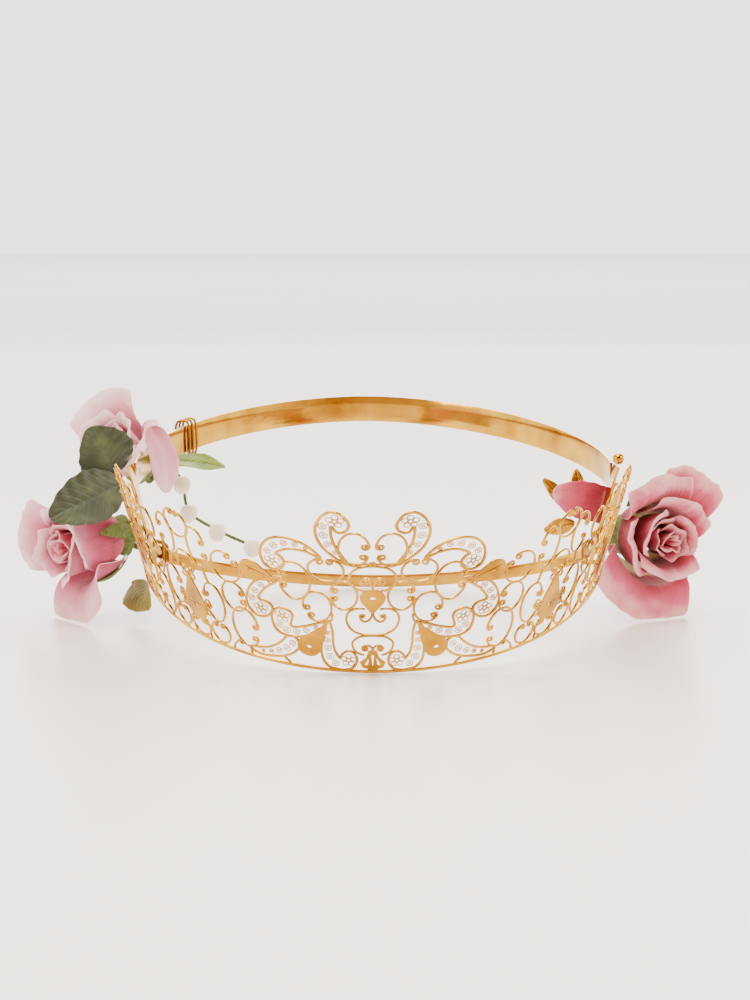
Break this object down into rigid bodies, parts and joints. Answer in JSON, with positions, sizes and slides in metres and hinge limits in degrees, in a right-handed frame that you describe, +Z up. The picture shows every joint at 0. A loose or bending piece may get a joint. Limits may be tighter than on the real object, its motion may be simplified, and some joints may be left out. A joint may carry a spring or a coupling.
{
  "type": "bridal tiara",
  "caption": "Open ring headpiece: a flared pierced filigree front on a thin rail, a double flat headband behind it, and fabric roses, leaves and buds wired on at the two temples.",
  "frame": {"origin": "middle of the front rail's underside, where the front of the tiara stands on a table", "axes": "+X to the right as seen from the front, +Y to the back of the head, +Z up off the table"},
  "size_m": [0.2104, 0.2029, 0.0646],
  "materials": {
    "gold_filigree": "gold-plated, polished, stamped and pierced",
    "gold_band": "gold-plated, rolled and polished",
    "binding_wire": "brass wire, drawn",
    "deep_rose_cloth": "dyed stiffened cloth, matt",
    "rose_cloth": "dyed stiffened cloth, matt",
    "pale_rose_cloth": "dyed stiffened cloth, matt",
    "dark_leaf_cloth": "dyed stiffened cloth with pressed veins",
    "light_leaf_cloth": "dyed stiffened cloth",
    "cream_bud": "padded cloth, matt"
  },
  "bodies": {
    "root": {"bud_spray_stem": "light_leaf_cloth", "center_filigree": "gold_filigree", "cream_bud_1": "cream_bud", "cream_bud_2": "cream_bud", "cream_bud_3": "cream_bud", "cream_bud_4": "cream_bud", "front_rail": "gold_filigree", "gold_leaf_1": "binding_wire", "gold_leaf_2": "binding_wire", "gold_leaf_3": "binding_wire", "left_end_filigree": "gold_filigree", "left_end_plate": "binding_wire", "left_inner_rosette": "gold_filigree", "left_link": "gold_filigree", "left_lower_binding_wire": "binding_wire", "left_lower_rose_calyx": "dark_leaf_cloth", "left_lower_rose_heart": "deep_rose_cloth", "left_lower_rose_petal_1": "rose_cloth", "left_lower_rose_petal_2": "rose_cloth", "left_lower_rose_petal_3": "rose_cloth", "left_lower_rose_petal_4": "rose_cloth", "left_lower_rose_petal_5": "rose_cloth", "left_lower_rose_petal_6": "rose_cloth", "left_lower_stem": "dark_leaf_cloth", "left_outer_rosette": "gold_filigree", "left_upper_binding_wire": "binding_wire", "left_upper_rose_calyx": "dark_leaf_cloth", "left_upper_rose_heart": "rose_cloth", "left_upper_rose_hanging_petal": "pale_rose_cloth", "left_upper_rose_petal_1": "pale_rose_cloth", "left_upper_rose_petal_2": "pale_rose_cloth", "left_upper_rose_petal_3": "pale_rose_cloth", "left_upper_rose_petal_4": "pale_rose_cloth", "left_upper_rose_petal_5": "pale_rose_cloth", "left_upper_stem": "dark_leaf_cloth", "light_leaf": "light_leaf_cloth", "low_green_leaf": "light_leaf_cloth", "lower_band": "gold_band", "lower_dark_leaf": "dark_leaf_cloth", "rear_band": "gold_band", "right_binding_wire": "binding_wire", "right_end_filigree": "gold_filigree", "right_end_plate": "binding_wire", "right_end_bead": "binding_wire", "right_inner_rosette": "gold_filigree", "right_link": "gold_filigree", "right_outer_rosette": "gold_filigree", "right_rose_calyx": "dark_leaf_cloth", "right_rose_heart": "deep_rose_cloth", "right_rose_petal_1": "deep_rose_cloth", "right_rose_petal_2": "deep_rose_cloth", "right_rose_petal_3": "deep_rose_cloth", "right_rose_petal_4": "deep_rose_cloth", "right_rose_petal_5": "deep_rose_cloth", "right_rose_petal_6": "deep_rose_cloth", "right_rose_petal_7": "deep_rose_cloth", "right_rose_petal_8": "deep_rose_cloth", "right_rose_stray_petal": "deep_rose_cloth", "right_stem": "dark_leaf_cloth", "upper_dark_leaf": "dark_leaf_cloth"}
  },
  "joints": []
}
